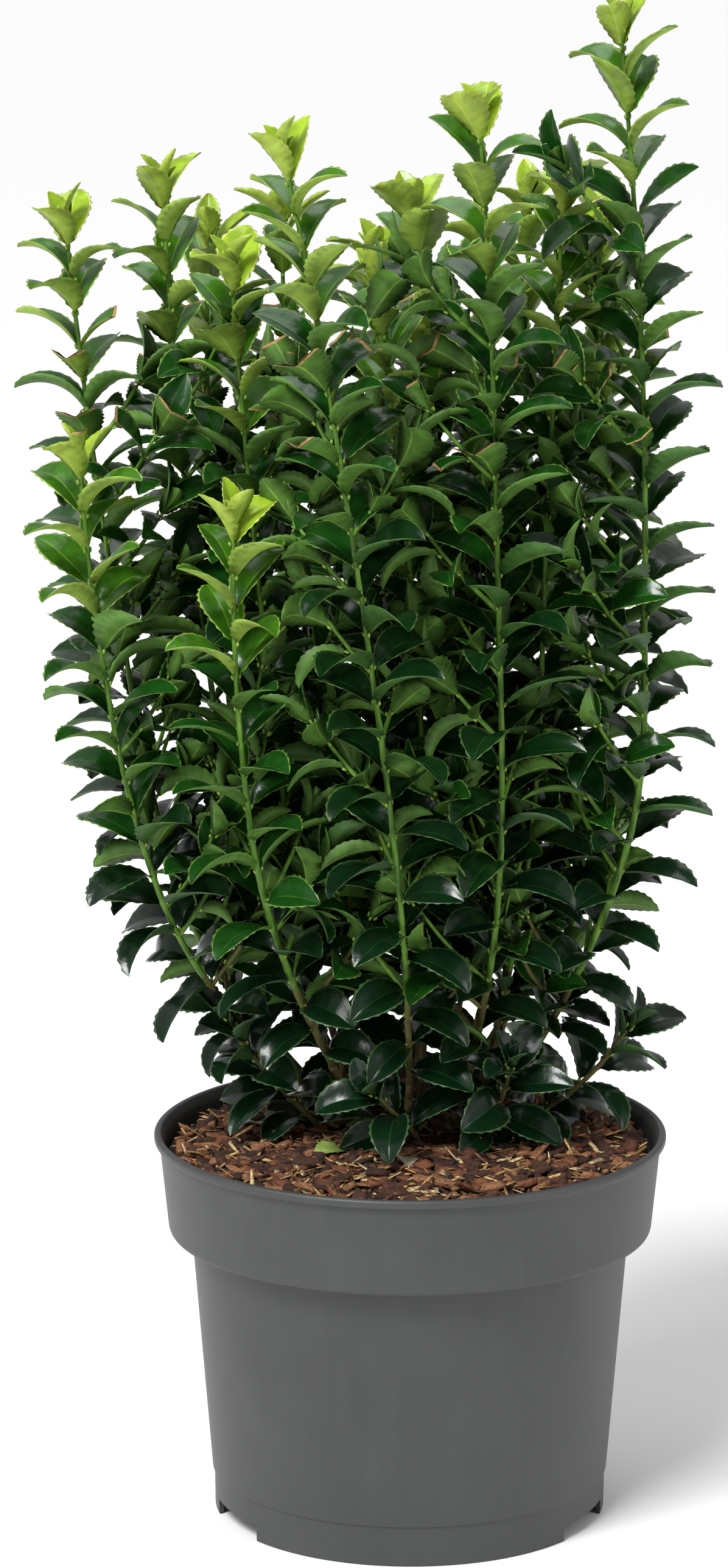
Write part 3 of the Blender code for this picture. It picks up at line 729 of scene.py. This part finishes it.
# A shoot ends in two pairs, the inner one a share as long, turned and a little higher.
END_PAIRS = ((1, 0, 0), (0.62, math.pi / 2, 0.8))
LOWEST_Z, OUTSIDE_R, PIECE_TRIANGLES = 137.5, 99, 190000
leaf_blocks, bud_places = [], []
for number, (name, nodes) in enumerate(twig_nodes.items()):
    draw = random.Random(SEED + number)
    spin, spots = draw.uniform(0, math.pi / 2), frames(nodes)
    total = sum((b - a).length for a, b in zip(nodes, nodes[1:]))
    for i, (p, along, side) in enumerate(spots):
        t, last = i / (len(spots) - 1), i == len(spots) - 1
        gone = total * (1 - t)
        spin += math.pi / 2
        for share_tip, extra, up_shift in END_PAIRS if last else END_PAIRS[:1]:
            for half in (0, math.pi):
                turn = spin + extra + half + draw.uniform(-0.2, 0.2)
                pitch = math.radians(66 - 36 * t * t + draw.uniform(-9, 9))
                size = LEAF_L * (0.9 + 0.16 * math.sin(math.pi * t) + draw.uniform(-0.09, 0.09))
                roll, width = draw.uniform(-0.35, 0.35), LEAF_W + draw.uniform(-0.04, 0.06)
                fold, arch = draw.uniform(0.35, 0.7), draw.uniform(0.4, 1.1)
                twist, phase, luck = draw.uniform(-0.3, 0.3), draw.uniform(0, 6), draw.random()
                if gone < 20 and not last:
                    pitch, size = pitch * 0.85, size * 0.95
                if last:
                    pitch, size = math.radians(draw.uniform(12, 22)), size * 0.66 * share_tip
                if name.startswith("low_"):
                    size *= 0.9
                if "_side_" in name:
                    size, gone = size * (1.3 if last else 0.85), 90 + 40 * (p.z < 380)
                cut_off = TRIM_LOW < p.z < TRIM_HIGH and draw.random() < TRIM_CHANCE
                trim = draw.uniform(0.55, 0.8) if cut_off else 1.0
                root = p + along * up_shift
                for d_turn, d_pitch, share in TRIES:
                    out = Matrix.Rotation(turn + d_turn, 3, along) @ side
                    lean = pitch + d_pitch
                    ray = (along * math.cos(lean) + out * math.sin(lean)).normalized()
                    up = (along * math.sin(lean) - out * math.cos(lean)).normalized()
                    up = Matrix.Rotation(roll, 3, ray) @ up
                    across = ray.cross(up)
                    put = (root, ray, across, up, size * share, width)
                    if not last and not stands_clear(name, put):
                        continue
                    points = shaped_leaf(*put, fold, arch * (0.5 if last else 1), twist, phase, trim)
                    reach = np.hypot(points[:, 0], points[:, 1]).max()
                    if points[:, 2].min() <= LOWEST_Z and reach <= OUTSIDE_R:
                        continue
                    age = 0 if name.startswith("low_") else age_of(gone, root.z, luck)
                    marks = leaf_parts + len(PARTS) * age
                    if trim < 1:
                        marks[end_faces] = CUT_MARK
                    leaf_blocks.append((points, leaf_faces, marks))
                    space.add(f"{name} leaf", proxy(*put, NEAR_ROOT), PROXY_FACES)
                    bud_places.append((root, along, out))
                    break
per_piece = PIECE_TRIANGLES // (2 * len(leaf_faces))
for k in range(0, len(leaf_blocks), per_piece):
    leaf_mesh = joined_mesh("leaves", leaf_blocks[k : k + per_piece])
    leaf_mesh.shade_smooth()
    stands_for = sorted(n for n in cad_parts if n.startswith("shoot_")) if k == 0 else []
    add_piece(f"leaves_{k // per_piece + 1}", leaf_mesh, leaf_materials, "leaf_green", *stands_for)

# Litter: one fallen yellow-green leaf and four dry grey ones, which lie loose on the mulch. Each
# has its place x and y, its turn and its material's number.
FALLEN = ((-30, -24, 0.9, 0), (-57, 12, 2.2, 1), (-17, 8, 0.4, 1), (-2, -36, 1.7, 1), (48, 12, 2.8, 1))
FALLEN_L, FALLEN_W, FALLEN_LIFT = 18, 0.5, 4.2
# Fallen leaves lose their gloss, and dry ones also their green.
litter_materials = [mottled_material(name, 0.75, (4, shades, 0.35, 0.65, 4)) for name, shades in (
    ("fallen_green_leaf", ("#6f8a35", "#95ad55")), ("dry_leaf", ("#8f8a78", "#b9b29c")))]
litter = []
for x, y, turn, mark in FALLEN:
    ray = Vector((math.cos(turn), math.sin(turn), 0.12)).normalized()
    across = Vector((-math.sin(turn), math.cos(turn), 0.1)).normalized()
    root = Vector((x, y, soil_height(x, y) + FALLEN_LIFT)) - ray * (FALLEN_L / 2)
    points = shaped_leaf(root, ray, across, ray.cross(across), FALLEN_L, FALLEN_W,
                         fold=0.3, arch=0.5, twist=0.3, phase=x)
    litter.append((points, leaf_faces, np.full(len(leaf_faces), mark)))
litter_mesh = joined_mesh("litter", litter)
litter_mesh.shade_smooth()
add_piece("fallen_leaves", litter_mesh, litter_materials, "leaf_green")

# Buds: a small pointed bud, wrapped in yellow-green scales, sits in the corner over each leaf.
BUD_D, BUD_SHAPE, BUD_OUT, BUD_UP = 1.3, (0.9, 0.9, 1.9), 1.5, 1.6
# Bud scales are thin and slightly waxy.
bud_skin = mottled_material("bud_scales", 0.5, (1.5, ("#7d9c3a", "#a8c45a"), 0.35, 0.65, 3))
bm = bmesh.new()
bmesh.ops.create_icosphere(bm, subdivisions=1, radius=0.5)
bud_points = np.array([v.co for v in bm.verts]) * np.array(BUD_SHAPE)
bud_faces = np.array([[v.index for v in f.verts] for f in bm.faces])
bm.free()
bud_blocks = []
for root, along, out in bud_places:
    axis = (along + out * 0.35).normalized()
    turn = np.array(axis.to_track_quat("Z", "X").to_matrix())
    points = bud_points * BUD_D @ turn.T + np.array(root + out * BUD_OUT + along * BUD_UP)
    bud_blocks.append((points, bud_faces, np.zeros(len(bud_faces), int)))
bud_mesh = joined_mesh("buds", bud_blocks)
bud_mesh.shade_smooth()
add_piece("side_buds", bud_mesh, [bud_skin], "leaf_green")

# Studio: a plain pale paper floor, broad daylight from the upper left in front, three soft boxes,
# from the left, the right and above, and an even white surround.
FLOOR_REACH, SURROUND = 40, 0.42
floor_mesh = bpy.data.meshes.new("floor")
bm = bmesh.new()
bmesh.ops.create_grid(bm, x_segments=1, y_segments=1, size=FLOOR_REACH)
bm.to_mesh(floor_mesh)
bm.free()
floor = bpy.data.objects.new("floor", floor_mesh)
bpy.context.scene.collection.objects.link(floor)
paper = bpy.data.materials.new("pale_paper")
paper.use_nodes = True
paper.node_tree.nodes["Principled BSDF"].inputs["Base Color"].default_value = linear("#f4f4f4")
paper.node_tree.nodes["Principled BSDF"].inputs["Roughness"].default_value = 0.9
floor_mesh.materials.append(paper)


def soft_light(name, place, target, width, height, watts):
    """A rectangular soft box at place that faces target."""
    lamp = bpy.data.lights.new(name, "AREA")
    lamp.shape, lamp.size, lamp.size_y, lamp.energy = "RECTANGLE", width, height, watts
    made = bpy.data.objects.new(name, lamp)
    bpy.context.scene.collection.objects.link(made)
    made.location = place
    made.rotation_euler = (Vector(target) - Vector(place)).to_track_quat("-Z", "Y").to_euler()


middle = (0, 0, 0.3)
soft_light("key", (-1.5, -1.3, 1.5), middle, 0.7, 1.2, 16)
soft_light("fill", (1.6, -1.1, 1.0), middle, 0.6, 1.2, 7)
soft_light("top", (0, 0.5, 2.0), middle, 1.2, 0.9, 8)
daylight = bpy.data.lights.new("daylight", "SUN")
daylight.energy, daylight.angle = 2.7, math.radians(22)
sun = bpy.data.objects.new("daylight", daylight)
bpy.context.scene.collection.objects.link(sun)
sun.rotation_euler = (math.radians(32), math.radians(-22), 0)
world = bpy.data.worlds.new("surround")
bpy.context.scene.world = world
world.use_nodes = True
world.node_tree.nodes["Background"].inputs["Color"].default_value = (1, 1, 1, 1)
world.node_tree.nodes["Background"].inputs["Strength"].default_value = SURROUND
